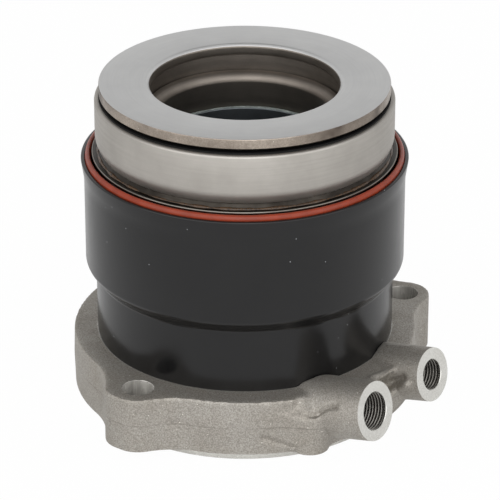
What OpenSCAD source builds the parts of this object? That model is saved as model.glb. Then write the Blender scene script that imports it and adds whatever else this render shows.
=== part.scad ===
// Concentric slave cylinder with its release bearing, standing on its pilot spigot.
// The axis is Z, the origin lies on the axis at the bottom of the spigot, and sizes are in millimetres.
// The piston is modelled fully extended, against the stop ring.

/* [Housing casting] */
// Step from the shroud's seat out to the pilot spigot
spigot_step = 3.6; // [2:0.1:5]
// Height of the pilot spigot
spigot_h = 4.2; // [3:0.1:6]
// Width of the flange's ledge around the shroud's neck, at its top
ledge_w = 6.8; // [5.5:0.1:9]
// Step from the flange's edges out to its parting line
flange_draft = 0.25; // [0.1:0.05:0.6]
// Thickness of the flange
flange_t = 16.5; // [15:0.1:20]
// Height of the barrel above the flange
barrel_h = 37.8; // [35:0.1:40]
// Wall of the barrel
barrel_wall = 4; // [3:0.1:4.3]
// Wall that the collar under the shroud adds to the barrel
collar_wall = 4.8; // [4:0.1:6]
// Width of the ring-shaped pressure chamber around the guide tube
chamber_w = 8; // [7.5:0.05:8.4]
// Thickness of the floor under the pressure chamber
floor_t = 8; // [7:0.1:9]

/* [Bolt lugs] */
// Distance of the bolt holes outside the flange's edge
bolt_out = 0.95; // [0:0.05:2]
// Diameter of the bolt holes
bolt_hole_d = 9; // [8.4:0.1:10]
// Radius of a lug around its hole
lug_r = 7.8; // [6.5:0.1:9]
// Radius of the hollow blend between a lug and the flange
lug_blend_r = 24; // [15:0.5:30]
// Angle of the first lug, in degrees
lug_1_angle = -126.4; // [-135:0.1:-120]
// Angle that the first lug is widened by to one side, in degrees
lug_1_skew = -2.4; // [-4:0.1:-1]
// Angle of the second lug, in degrees
lug_2_angle = 21.9; // [15:0.1:30]
// Angle of the third lug, in degrees
lug_3_angle = 127.7; // [120:0.1:135]

/* [Ports] */
// Direction that both ports point to, in degrees
port_azimuth = -35.8; // [-40:0.1:-32]
// Upward tilt of both ports, in degrees
port_tilt = 12; // [9:0.1:15]
// Height of the ports' face centres
port_z = 18.3; // [17:0.1:19.5]
// Distance of the pressure port's face outside the flange's edge
port_1_out = 9.1; // [7:0.1:12]
// Sideways place of the pressure port
port_1_offset = -19.3; // [-21:0.1:-17]
// Radius of the pressure port's boss at its face
port_1_boss_r = 8.5; // [8:0.05:10]
// Radius of the pressure port's thread
port_1_bore_r = 6; // [5:0.05:6.5]
// Distance of the bleed port's face outside the flange's edge
port_2_out = 10.2; // [8:0.1:13]
// Sideways place of the bleed port
port_2_offset = 8.3; // [7:0.1:10]
// Radius of the bleed port's boss at its face
port_2_boss_r = 7.8; // [7:0.05:9]
// Radius of the bleed port's thread
port_2_bore_r = 5; // [4:0.05:5.5]
// Depth of the threaded part of a port
port_depth = 14; // [11:0.5:16]
// Depth from the pressure port's face to the flat that its boss rises from
root_depth = 18.8; // [17:0.1:20]
// Draft of the cast bosses, in degrees
boss_draft = 1; // [0:0.1:3]
// Radius of the drilling from a port to the chamber
passage_r = 2.2; // [1.5:0.1:3]
// Radius of the upright pad beside the pressure port
pad_r = 5.4; // [4.5:0.1:6]
// Distance of the pad's centre inside the flange's edge
pad_in = 1.2; // [0.3:0.1:2.5]
// Angle of the pad, in degrees
pad_angle = -67.7; // [-72:0.1:-65]
// Height of the pad's top above the base
pad_top = 16.3; // [14:0.1:19]
// Radius of the hollow blend on the pad's long flank
pad_blend_r = 24; // [15:0.5:30]
// Radius of the hollow blend on the pad's steep flank
pad_corner_r = 6; // [4:0.5:10]
// Distance from the pad's middle to the start of its rising underside
pad_foot = 4.4; // [3:0.1:6]
// Rise of the pad's underside, in degrees
pad_lift = 27; // [20:1:35]
// Distance of the face of the web between the ports outside the flange's edge
web_out = 3.2; // [2.8:0.1:4]
// Height of that web's underside above the flange's base
web_rise = 4.3; // [3:0.1:6]
// Radius of the hollow pocket in that web
recess_r = 3.4; // [2.5:0.1:3.5]

/* [Dust shroud] */
// Wall of the shroud
shroud_t = 1.2; // [0.8:0.1:1.5]
// Height of the neck
neck_h = 18.8; // [16:0.1:21]
// Height of the conical shoulder between neck and cup
shoulder_h = 3.7; // [3:0.1:5]
// Drop from the carrier's brim to the rim
mouth_drop = 1.7; // [1:0.1:2.5]
// Height of the flared mouth of the cup
flare_h = 5.9; // [4:0.1:8]
// Step from the cup out to the rim
rim_flare = 0.9; // [0.5:0.1:1.5]
// Width of the red wiper ring in the mouth
wiper_w = 1.66; // [1.2:0.02:2.2]
// Height of the red wiper ring above the rim
wiper_proud = 1.4; // [0.8:0.1:2]

/* [Guide tube] */
// Outside radius of the guide tube
tube_r = 25; // [24.5:0.05:25.5]
// Wall of the guide tube
tube_t = 1.5; // [1:0.1:2]
// Height of the guide tube
tube_h = 78.7; // [74:0.1:84]
// Width of the foot of the guide tube
foot_w = 3.5; // [2:0.1:5]
// Thickness of the foot
foot_t = 2.2; // [1.5:0.1:2.6]
// Section of the static sealing ring
o_ring_d = 2; // [1.5:0.1:2.4]

/* [Piston] */
// Length of the piston's land in the cylinder bore
land_h = 16.7; // [15:0.1:18]
// Wall of the piston's stem above the land
stem_wall = 5.45; // [4.5:0.05:6]
// Length of the stem
stem_h = 19.8; // [18:0.1:22]
// Width of the flange that carries the bearing, outside the nose
seat_w = 8.4; // [7:0.1:9]
// Thickness of that flange
seat_t = 2.5; // [2:0.1:3.2]
// Wall of the piston's nose
nose_wall = 3.45; // [3.2:0.05:3.7]
// Height of the nose above the bearing's seat
nose_h = 11.7; // [10:0.1:13]
// Rounding of the inner edge of the nose
nose_round = 2.8; // [1.5:0.1:3]
// Thickness of the stop ring and of the carrier's retaining ring
ring_t = 1.1; // [0.8:0.05:1.3]
// Distance from the barrel's mouth to the stop ring
stop_inset = 2.3; // [1.5:0.1:3]
// Height of the piston seal
seal_h = 6.2; // [5.5:0.1:7]
// Height of the guide ring around the land
guide_h = 6; // [4:0.1:7]

/* [Preload spring] */
// Radius of the spring wire
wire_r = 1.3; // [1:0.05:1.4]
// Gap between the barrel and the spring
spring_gap = 0.7; // [0.5:0.05:0.8]
// Number of turns, the closed end turns included
turns = 6; // [5:1:7]
// Thickness of the spring's lower seat
spring_seat_t = 1.2; // [0.8:0.1:2]

/* [Release bearing] */
// Thickness of the pressed steel bearing carrier
carrier_t = 1; // [0.8:0.05:1.2]
// Width of the carrier's brim outside the bearing
brim_w = 1; // [0.7:0.05:1.2]
// Drop from the bearing's seat to the top of the brim
brim_drop = 1.5; // [1.2:0.1:2]
// Wall of the bearing's outer ring
outer_ring_wall = 4.9; // [4.4:0.1:5.7]
// Height of the outer ring
outer_ring_h = 14.8; // [14:0.1:16]
// Radius of a ball
ball_r = 3.5; // [3.2:0.05:3.6]
// Number of balls
ball_n = 22; // [16:1:24]
// Gap between the piston's nose and the inner ring
nose_gap = 0.3; // [0.3:0.05:0.8]
// Wall of the bearing's inner ring
inner_ring_wall = 5.4; // [4.6:0.1:6]
// Step from the bearing's outside in to the thrust plate's edge
thrust_inset = 1.3; // [0.2:0.1:2.5]
// Overhang of the thrust plate over the piston's nose
thrust_lip = 1.5; // [0.5:0.1:2.3]
// Thickness of the thrust plate
thrust_t = 3.5; // [3:0.1:4.5]
// Gap between the outer ring and the thrust plate
thrust_gap = 0.95; // [0.8:0.05:1.5]

/* [Hidden] */
$fn = 96;
// Radial clearance of a running fit
running = 0.05;
// Clearance of a seated or pressed piece
seated = 0.02;
// Room between pieces that pass each other
room = 0.3;
// Overlap of a cut past the face that it opens
over = 1;
// Depth that a hollow blend runs into the round that it leaves
bite = 0.03;
// Step from the circle through the balls' centres to either ring
groove_step = 1.8;

// Heights of the housing and the shroud, from the base up
flange_top = spigot_h + flange_t;
neck_top = flange_top + neck_h;
cup_z = neck_top + shoulder_h;
barrel_top = flange_top + barrel_h;
parting_z = spigot_h + flange_t / 2;

// Radii of the piston and the bearing, from the guide tube out
piston_bore_r = tube_r + running;
stem_r = piston_bore_r + stem_wall;
nose_r = piston_bore_r + nose_wall;
seat_r = nose_r + seat_w;
inner_bore_r = nose_r + nose_gap;
inner_ring_r = inner_bore_r + inner_ring_wall;
pitch_r = inner_ring_r + groove_step;
outer_ring_in_r = pitch_r + groove_step;
outer_ring_r = outer_ring_in_r + outer_ring_wall;
brim_r = outer_ring_r + brim_w;
thrust_r = outer_ring_r - thrust_inset;
thrust_bore_r = nose_r - thrust_lip;

// Radii of the cylinder, the collar that the shroud is pressed on, and the flange
foot_r = tube_r + foot_w;
bore_r = tube_r + chamber_w;
barrel_r = bore_r + barrel_wall;
neck_in_r = barrel_r + collar_wall;
neck_r = neck_in_r + shroud_t;
collar_r = neck_in_r - seated;
spigot_r = neck_in_r + spigot_step;
flange_r = neck_r + ledge_w;
bolt_circle_r = flange_r + bolt_out;
pad_circle_r = flange_r - pad_in;
web_reach = flange_r + web_out;
port_1_reach = flange_r + port_1_out;
port_2_reach = flange_r + port_2_out;
coil_r = barrel_r + spring_gap + wire_r;

// Radii of the shroud, from the wiper ring in its mouth out
wiper_in_r = brim_r + room;
wiper_out_r = wiper_in_r + wiper_w;
rim_in_r = wiper_out_r + 2 * seated;
rim_r = rim_in_r + shroud_t;
cup_r = rim_r - rim_flare;
cup_in_r = cup_r - shroud_t;
// Rise of the inner crease that keeps the shoulder's wall even
crease_rise = shroud_t * tan(atan((cup_r - neck_r) / shoulder_h) / 2);

// Heights of the piston and the bearing, from the stop ring up
stop_z = barrel_top - stop_inset - ring_t;
stop_depth = 1.3;
land_top = stop_z - room;
land_z = land_top - land_h;
land_r = bore_r - running;
carrier_z = land_top + stem_h + seat_t;
nose_top = carrier_z + nose_h;
bearing_z = carrier_z + carrier_t;
outer_top = bearing_z + outer_ring_h;
thrust_z = outer_top + thrust_gap;
brim_top = bearing_z - brim_drop;
rim_z = brim_top - mouth_drop;

// Seal, backing ring and guide ring on the piston's land
tongue_t = 2;
tongue_in_r = (piston_bore_r + land_r - tongue_t) / 2;
tongue_out_r = tongue_in_r + tongue_t;
tongue_h = 3.2;
hook_h = 0.8;
hook_side = 0.6;
backing_h = 1.2;
backing_r = tongue_out_r + 0.5;
lip_t = 1.6;
lip_depth = 1.8;
guide_t = 1.45;
guide_z = land_z + backing_h + (land_h - backing_h - guide_h) / 2;

// Retaining ring of the carrier
retainer_depth = 0.8;
retainer_r = nose_r + 1.3;

// Spring and its lower seat, which lies on the housing's collar
spring_seat_z = cup_z;
spring_z = spring_seat_z + spring_seat_t + seated;
spring_top = carrier_z - seated;
spring_steps = 24;
spring_sides = 8;

// Balls, grooves, cage and seals of the bearing
race_gap = 0.1;
ball_z = bearing_z + outer_ring_h / 2;
cage_h = 2 * (ball_r + 1);
inner_ring_z = bearing_z + 1.6;
bearing_seal_t = 0.5;
seal_skirt = 0.85;
seal_skirt_h = 2.2;
cage_gap = 0.1;

// Static seal of the guide tube, between its foot and the chamber's floor
tube_seat_r = tube_r + seated;
o_ring_z = (foot_t + floor_t) / 2;

// Points of a round edge from angle a0 to a1, in the plane of a turned profile
function arc(r, z, rr, rz, a0, a1, n = 8) =
    [for (i = [0:n]) let (a = a0 + (a1 - a0) * i / n) [r + rr * cos(a), z + rz * sin(a)]];

// Ring of rectangular section
module ring(r_in, r_out, z0, z1) {
    rotate_extrude() translate([r_in, z0]) square([r_out - r_in, z1 - z0]);
}

// Centre of the hollow blend between the flange and a lug that points along +X
function blend_centre(centre_r, r, blend_r) =
    let (
        near = flange_r + blend_r - bite,
        far = r + blend_r - bite,
        x = (near * near - far * far + centre_r * centre_r) / (2 * centre_r)
    )
    [x, sqrt(near * near - x * x)];

// Outline of a lug that points along +X, with its hollow blends on the -Y and on the +Y side
module lug_outline(centre_r, r, blend_1, blend_2) {
    low = blend_centre(centre_r, r, blend_1);
    high = blend_centre(centre_r, r, blend_2);
    difference() {
        polygon([[0, 0], [low[0], -low[1]], [centre_r, 0], high]);
        translate([low[0], -low[1]]) circle(blend_1);
        translate(high) circle(blend_2);
    }
    translate([centre_r, 0]) circle(r);
}

// Places its children at a port's face, with +Z pointing out of the port
module at_port(reach, offset) {
    rotate([0, 0, port_azimuth])
        translate([reach, offset, port_z])
            rotate([0, 90 - port_tilt, 0])
                children();
}

// Length of a port's axis from its face to the wall of the chamber
function port_length(reach, offset) =
    (reach - sqrt(bore_r * bore_r - offset * offset)) / cos(port_tilt);

// Cast boss of a port, run back into the collar
module port_boss(reach, offset, r) {
    length = port_length(reach, offset) - barrel_wall;
    at_port(reach, offset)
        translate([0, 0, -length]) cylinder(h = length, r1 = r + length * tan(boss_draft), r2 = r);
}

// Threaded bore of a port with its mouth, drill point and drilling to the chamber
module port_bore(reach, offset, r) {
    mouth = 0.8;
    point = (r - passage_r) * tan(31);
    length = port_length(reach, offset) + passage_r;
    at_port(reach, offset) rotate_extrude() polygon([
        [0, -length], [passage_r, -length], [passage_r, -port_depth - point], [r, -port_depth],
        [r, -mouth], [r + mouth + over, over], [0, over]
    ]);
}

// Web that joins the two bosses along the flange, with a hollow pocket under its upper edge
module port_web() {
    back = (barrel_r + collar_r) / 2;
    width = port_2_offset - port_1_offset - port_1_boss_r;
    rotate([0, 0, port_azimuth]) difference() {
        translate([back, port_1_offset + port_1_boss_r / 2, spigot_h + web_rise])
            cube([web_reach - back, width, flange_t - web_rise]);
        translate([web_reach + recess_r / 10, port_1_offset, flange_top - 0.85 * recess_r])
            rotate([-90, 0, 0]) cylinder(h = port_2_offset - port_1_offset, r = recess_r);
    }
}

// Flat beside the pressure port, square to its axis, that the boss rises from
module boss_root() {
    side = 3 * port_1_boss_r;
    at_port(port_1_reach, port_1_offset)
        translate([-side, -side, -root_depth]) cube([side, side, root_depth + side]);
}

// Upright pad beside the pressure port, with an underside that rises along one flank
module pad() {
    flank = pad_r + pad_blend_r;
    rise = tan(pad_lift);
    rotate(pad_angle) difference() {
        translate([0, 0, spigot_h]) linear_extrude(pad_top - spigot_h)
            lug_outline(pad_circle_r, pad_r, pad_blend_r, pad_corner_r);
        rotate([90, 0, 90]) linear_extrude(pad_circle_r + pad_r + over) polygon([
            [over / rise - pad_foot, spigot_h - over], [-pad_foot - flank, spigot_h + flank * rise],
            [-pad_foot - flank, spigot_h - over]
        ]);
    }
}

// Flange, lugs, pad, web and port bosses as cast, kept clear of the shroud's neck
module flange_casting() {
    difference() {
        union() {
            difference() {
                union() {
                    rotate_extrude() polygon([
                        [0, spigot_h], [flange_r, spigot_h], [flange_r + flange_draft, parting_z],
                        [flange_r, flange_top], [0, flange_top]
                    ]);
                    translate([0, 0, spigot_h]) linear_extrude(flange_t)
                        for (angle = [lug_1_angle, lug_1_angle + lug_1_skew, lug_2_angle, lug_3_angle])
                            rotate(angle) lug_outline(bolt_circle_r, lug_r, lug_blend_r, lug_blend_r);
                }
                boss_root();
            }
            pad();
            port_web();
            port_boss(port_1_reach, port_1_offset, port_1_boss_r);
            port_boss(port_2_reach, port_2_offset, port_2_boss_r);
        }
        translate([0, 0, flange_top]) cylinder(h = port_z, r = neck_r + seated);
    }
}

module housing() {
    edge = 0.6;
    color("#a8a49b") difference() {
        union() {
            flange_casting();
            rotate_extrude() polygon([
                [0, 0], [spigot_r - edge, 0], [spigot_r, edge], [spigot_r, spigot_h + over],
                [0, spigot_h + over]
            ]);
            translate([0, 0, spigot_h]) cylinder(h = cup_z - spigot_h, r = collar_r);
            translate([0, 0, spigot_h]) cylinder(h = barrel_top - spigot_h, r = barrel_r);
        }
        rotate_extrude() polygon([
            [0, floor_t], [bore_r, floor_t], [bore_r, barrel_top - edge],
            [bore_r + edge + over, barrel_top + over], [0, barrel_top + over]
        ]);
        translate([0, 0, -over]) cylinder(h = floor_t + 2 * over, r = tube_seat_r);
        translate([0, 0, -over]) cylinder(h = foot_t + seated + over, r = foot_r + seated);
        translate([0, 0, o_ring_z - o_ring_d / 2 - running])
            cylinder(h = o_ring_d + 2 * running, r = tube_r + o_ring_d + 2 * running);
        translate([0, 0, stop_z - seated])
            cylinder(h = ring_t + 2 * seated, r = bore_r + stop_depth);
        for (angle = [lug_1_angle, lug_2_angle, lug_3_angle])
            rotate(angle) translate([bolt_circle_r, 0, -over])
                cylinder(h = flange_top + 2 * over, d = bolt_hole_d);
        port_bore(port_1_reach, port_1_offset, port_1_bore_r);
        port_bore(port_2_reach, port_2_offset, port_2_bore_r);
    }
}

module guide_tube() {
    edge = 0.4;
    r_in = tube_r - tube_t;
    color("#8d9296") rotate_extrude() polygon([
        [r_in, 0], [foot_r, 0], [foot_r, foot_t], [tube_r, foot_t], [tube_r, tube_h - edge],
        [tube_r - edge, tube_h], [r_in, tube_h]
    ]);
}

module guide_tube_o_ring() {
    color("#1b1b1b") rotate_extrude()
        translate([tube_r + seated + o_ring_d / 2, o_ring_z]) circle(d = o_ring_d);
}

module dust_shroud() {
    flare_z = rim_z - flare_h;
    color("#343434") rotate_extrude() polygon([
        [neck_r, flange_top], [neck_r, neck_top], [cup_r, cup_z], [cup_r, flare_z], [rim_r, rim_z],
        [rim_in_r, rim_z], [cup_in_r, flare_z], [cup_in_r, cup_z + crease_rise],
        [neck_in_r, neck_top + crease_rise], [neck_in_r, flange_top]
    ]);
}

// The red ring lies against the flared mouth, and its rounded lip stands above the rim
module wiper_ring() {
    depth = 1.8;
    flare = rim_flare / flare_h;
    lip = wiper_w / 2;
    color("#b05542") rotate_extrude() polygon(concat(
        [[wiper_in_r, rim_z - depth], [wiper_out_r - depth * flare, rim_z - depth]],
        arc(wiper_in_r + lip, rim_z, lip, wiper_proud, 0, 180, 12)
    ));
}

// Flat ring on the collar, with an outer lip that keeps the spring in place
module spring_seat() {
    lip = 1;
    lip_in = coil_r + wire_r + room;
    r_out = cup_in_r - 0.8;
    top = spring_seat_z + spring_seat_t;
    color("#5b5e61") rotate_extrude() polygon([
        [barrel_r + room / 2, spring_seat_z], [r_out, spring_seat_z], [r_out, top],
        [lip_in + lip, top], [lip_in + lip, top + lip], [lip_in, top + lip], [lip_in, top],
        [barrel_r + room / 2, top]
    ]);
}

// Height of the spring wire's middle after t turns: one closed turn at each end
function wire_z(t) =
    let (
        closed = 2 * wire_r + seated,
        low = spring_z + wire_r,
        high = spring_top - wire_r,
        pitch = (high - low - 2 * closed) / (turns - 2)
    )
    t < 1 ? low + closed * t
        : t < turns - 1 ? low + closed + pitch * (t - 1)
        : high - closed * (turns - t);

module preload_spring() {
    rings = turns * spring_steps;
    points = [
        for (i = [0:rings]) let (a = 360 * i / spring_steps)
            for (j = [0:spring_sides - 1]) let (b = 360 * (j + 0.5) / spring_sides)
                let (r = coil_r + wire_r * cos(b))
                    [r * cos(a), r * sin(a), wire_z(i / spring_steps) + wire_r * sin(b)]
    ];
    start = [for (j = [0:spring_sides - 1]) j];
    finish = [for (j = [spring_sides - 1:-1:0]) rings * spring_sides + j];
    sides = [
        for (i = [0:rings - 1]) for (j = [0:spring_sides - 1])
            let (k = (j + 1) % spring_sides, a = i * spring_sides, b = a + spring_sides)
                [a + j, b + j, b + k, a + k]
    ];
    color("#4f5357") polyhedron(points, concat([start, finish], sides));
}

// Internal retaining ring in the barrel's mouth, open over a part of its turn
module stop_ring() {
    opening = 40;
    r_in = stem_r + 0.7;
    r_out = bore_r + stop_depth - seated;
    color("#6a6d70") rotate([0, 0, 90 + opening / 2]) rotate_extrude(angle = 360 - opening)
        translate([r_in, stop_z]) square([r_out - r_in, ring_t]);
}

// Annular piston: hook for the seal, land, stem, bearing seat and rounded nose
module piston() {
    edge = 0.3;
    groove_r = nose_r - retainer_depth;
    guide_r = land_r - guide_t;
    tongue_z = land_z - tongue_h;
    color("#8b8781") rotate_extrude() polygon(concat(
        [
            [piston_bore_r, land_z], [tongue_in_r, land_z],
            [tongue_in_r, tongue_z + hook_h + hook_side],
            [tongue_in_r - hook_side, tongue_z + hook_h], [tongue_in_r - hook_side, tongue_z],
            [tongue_out_r + hook_side, tongue_z], [tongue_out_r + hook_side, tongue_z + hook_h],
            [tongue_out_r, tongue_z + hook_h + hook_side], [tongue_out_r, land_z],
            [backing_r, land_z], [backing_r, land_z + backing_h], [land_r, land_z + backing_h],
            [land_r, guide_z], [guide_r, guide_z], [guide_r, guide_z + guide_h],
            [land_r, guide_z + guide_h], [land_r, land_top], [stem_r, land_top],
            [stem_r, land_top + stem_h], [seat_r, land_top + stem_h], [seat_r, carrier_z],
            [nose_r, carrier_z], [nose_r, bearing_z], [groove_r, bearing_z],
            [groove_r, bearing_z + ring_t + 2 * seated],
            [nose_r, bearing_z + ring_t + 2 * seated], [nose_r, nose_top - edge],
            [nose_r - edge, nose_top]
        ],
        arc(piston_bore_r + nose_round, nose_top - nose_round, nose_round, nose_round, 90, 180)
    ));
}

// Pressure seal with two lips, hooked onto the piston's tongue
module piston_seal() {
    top = land_z - seated;
    low = top - seal_h;
    middle = (tongue_in_r + tongue_out_r) / 2;
    r_in = tube_r + running;
    flat = 1;
    lip_edge = 0.7;
    slot_z = land_z - tongue_h - running;
    slot_in = tongue_in_r - running;
    slot_out = tongue_out_r + running;
    hook_top = slot_z + hook_h + hook_side + running;
    color("#202022") rotate_extrude() polygon([
        [r_in, top], [r_in, low + lip_edge], [r_in + lip_edge / 2, low], [r_in + lip_t, low],
        [middle - flat, low + lip_depth], [middle + flat, low + lip_depth], [land_r - lip_t, low],
        [land_r - lip_edge / 2, low], [land_r, low + lip_edge], [land_r, top], [slot_out, top],
        [slot_out, hook_top], [slot_out + hook_side, hook_top - hook_side],
        [slot_out + hook_side, slot_z], [slot_in - hook_side, slot_z],
        [slot_in - hook_side, hook_top - hook_side], [slot_in, hook_top], [slot_in, top]
    ]);
}

module seal_backing_ring() {
    color("#d8d4c8")
        ring(backing_r + seated, land_r - seated, land_z, land_z + backing_h - seated);
}

module piston_guide_ring() {
    color("#3d3a36")
        ring(land_r - guide_t + seated, land_r, guide_z + seated, guide_z + guide_h - seated);
}

// Pressed plate: flat seat for the bearing, a short drawn wall and a thin brim
module bearing_carrier() {
    crown_r = outer_ring_r - 1.8;
    foot = crown_r + 1;
    brim_low = brim_top - carrier_t * 0.8;
    color("#77695d") rotate_extrude() polygon([
        [nose_r + seated, carrier_z], [crown_r - carrier_t / 2, carrier_z], [foot - carrier_t / 2, brim_low],
        [brim_r, brim_low], [brim_r, brim_top], [foot, brim_top], [crown_r, bearing_z],
        [nose_r + seated, bearing_z]
    ]);
}

module carrier_retaining_ring() {
    opening = 30;
    color("#6a6d70") rotate([0, 0, opening / 2]) rotate_extrude(angle = 360 - opening)
        translate([nose_r - retainer_depth + seated, bearing_z + seated])
            square([retainer_r - nose_r + retainer_depth - seated, ring_t]);
}

// Ball groove of both rings, in the plane of their profile
module groove() {
    translate([pitch_r, ball_z]) circle(ball_r + race_gap);
}

module bearing_outer_ring() {
    edge = 0.8;
    round_r = 1.8;
    round_z = 3.4;
    color("#b5b2ab") rotate_extrude() difference() {
        polygon(concat(
            [[outer_ring_in_r, outer_top], [outer_ring_in_r, bearing_z]],
            arc(outer_ring_r - round_r, bearing_z + round_z, round_r, round_z, -90, 0),
            arc(outer_ring_r - edge, outer_top - edge, edge, edge, 0, 90)
        ));
        groove();
    }
}

module bearing_inner_ring() {
    edge = 0.5;
    color("#a3a09a") rotate_extrude() difference() {
        polygon([
            [inner_bore_r + edge, inner_ring_z], [inner_ring_r - edge, inner_ring_z],
            [inner_ring_r, inner_ring_z + edge], [inner_ring_r, thrust_z], [inner_bore_r, thrust_z],
            [inner_bore_r, inner_ring_z + edge]
        ]);
        groove();
    }
}

// Black seal on the outer ring's top face, with a skirt pressed into the ring
module upper_bearing_seal() {
    r_in = inner_ring_r + room;
    r_out = outer_ring_r - 1.2;
    skirt_r = outer_ring_in_r - seated;
    skirt_low = outer_top - seal_skirt_h;
    color("#161616") rotate_extrude() polygon([
        [r_in, outer_top], [skirt_r - seal_skirt, outer_top], [skirt_r - seal_skirt, skirt_low],
        [skirt_r, skirt_low], [skirt_r, outer_top + seated], [r_out, outer_top + seated],
        [r_out, outer_top + bearing_seal_t], [r_in, outer_top + bearing_seal_t]
    ]);
}

module lower_bearing_seal() {
    low = ball_z - cage_h / 2 - cage_gap - 2 * bearing_seal_t;
    color("#161616")
        ring(inner_ring_r + room, outer_ring_in_r - seated, low, low + 2 * bearing_seal_t);
}

// Ground flat ring that meets the clutch's diaphragm spring
module thrust_plate() {
    bore_edge = 0.85;
    top_edge = 0.25;
    low_edge = 0.7;
    top = thrust_z + thrust_t;
    color("#acacab") rotate_extrude() polygon([
        [thrust_bore_r, thrust_z], [thrust_r - low_edge, thrust_z], [thrust_r, thrust_z + low_edge],
        [thrust_r, top - top_edge], [thrust_r - top_edge, top], [thrust_bore_r + bore_edge, top],
        [thrust_bore_r, top - bore_edge]
    ]);
}

module bearing_cage() {
    side = 0.5;
    color("#8a6a3f") difference() {
        ring(inner_ring_r + side, outer_ring_in_r - side, ball_z - cage_h / 2, ball_z + cage_h / 2);
        for (i = [0:ball_n - 1])
            rotate([0, 0, 360 * i / ball_n]) translate([inner_ring_r - over, 0, ball_z])
                rotate([0, 90, 0])
                    cylinder(h = outer_ring_in_r - inner_ring_r + 2 * over, r = ball_r + race_gap);
    }
}

module bearing_balls() {
    color("#c4c6c8") for (i = [0:ball_n - 1])
        rotate([0, 0, 360 * i / ball_n]) translate([pitch_r, 0, ball_z]) sphere(ball_r);
}

housing();
guide_tube();
guide_tube_o_ring();
dust_shroud();
wiper_ring();
spring_seat();
preload_spring();
stop_ring();
piston();
piston_seal();
seal_backing_ring();
piston_guide_ring();
bearing_carrier();
carrier_retaining_ring();
bearing_outer_ring();
upper_bearing_seal();
lower_bearing_seal();
bearing_inner_ring();
thrust_plate();
bearing_cage();
bearing_balls();
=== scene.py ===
"""Looks of a concentric slave cylinder with its release bearing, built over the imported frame.

The axis is Z. Sizes in the classes are in millimetres; meshes are in metres, in the frame's own place.
"""

import logging
import math
from collections.abc import Sequence
from dataclasses import dataclass, field
from enum import Enum
from typing import Any, NamedTuple

import bmesh
import bpy
from mathutils import Matrix, Vector, noise


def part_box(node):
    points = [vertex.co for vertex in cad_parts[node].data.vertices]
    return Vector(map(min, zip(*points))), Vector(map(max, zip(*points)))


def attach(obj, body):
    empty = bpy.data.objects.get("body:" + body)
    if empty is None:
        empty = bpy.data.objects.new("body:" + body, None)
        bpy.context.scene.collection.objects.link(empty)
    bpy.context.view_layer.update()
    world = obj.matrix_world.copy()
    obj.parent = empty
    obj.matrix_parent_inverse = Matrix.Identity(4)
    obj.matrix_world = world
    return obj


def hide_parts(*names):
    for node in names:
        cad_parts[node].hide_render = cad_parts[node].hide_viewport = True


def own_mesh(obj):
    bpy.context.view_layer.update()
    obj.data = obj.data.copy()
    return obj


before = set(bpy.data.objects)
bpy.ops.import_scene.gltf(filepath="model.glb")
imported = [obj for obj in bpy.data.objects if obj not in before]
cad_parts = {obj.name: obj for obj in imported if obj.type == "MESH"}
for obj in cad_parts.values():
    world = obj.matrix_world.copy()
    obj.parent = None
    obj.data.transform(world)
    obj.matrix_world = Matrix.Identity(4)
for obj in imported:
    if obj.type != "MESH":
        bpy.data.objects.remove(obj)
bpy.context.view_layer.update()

MM = 0.001
LOG = logging.getLogger("slave_cylinder")

Point = tuple[float, float]
Point3 = tuple[float, float, float]
Tree = bpy.types.NodeTree
Socket = bpy.types.NodeSocket
Solid = bmesh.types.BMesh
Vert = bmesh.types.BMVert
Mesh = bpy.types.Mesh
Piece = bpy.types.Object


class Body(Enum):
    """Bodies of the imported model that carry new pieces."""

    HOUSING = "housing_unit"
    PISTON = "piston_unit"
    INNER_RING = "inner_ring_unit"


class Lay(Enum):
    """Direction of the fine marks that a tool leaves on a surface, and for a drilled wall of the upright
    streaks of painted reflection.
    """

    NONE = "none"
    TURNED = "turned"
    # Upright light and dark streaks of painted reflection on the wall of a drilled hole
    DRILLED = "drilled"


def linear(code: str) -> tuple[float, float, float, float]:
    """Turns an sRGB hex colour into linear RGBA.

    Args:
        code: Six hex digits after a hash sign.

    Returns:
        Linear red, green, blue and an alpha of 1.
    """
    parts = [int(code[i : i + 2], 16) / 255 for i in (1, 3, 5)]
    red, green, blue = (c / 12.92 if c <= 0.04045 else ((c + 0.055) / 1.055) ** 2.4 for c in parts)
    return red, green, blue, 1.0


def add_node(
    tree: Tree, kind: str, inputs: dict[str | int, Any] | None = None, **settings: Any
) -> bpy.types.NodeOutputs:
    """Adds a node with its settings, and fills or links its inputs.

    Args:
        tree: Node tree that takes the node.
        kind: Blender's name of the node type, without the ShaderNode at its start.
        inputs: Value or output socket for each input, by name or number.
        settings: Properties of the node.

    Returns:
        Outputs of the new node.
    """
    node = tree.nodes.new(f"ShaderNode{kind}")
    for key, value in settings.items():
        setattr(node, key, value)
    for key, value in (inputs or {}).items():
        if isinstance(value, Socket):
            tree.links.new(value, node.inputs[key])
        else:
            node.inputs[key].default_value = value
    return node.outputs


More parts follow.
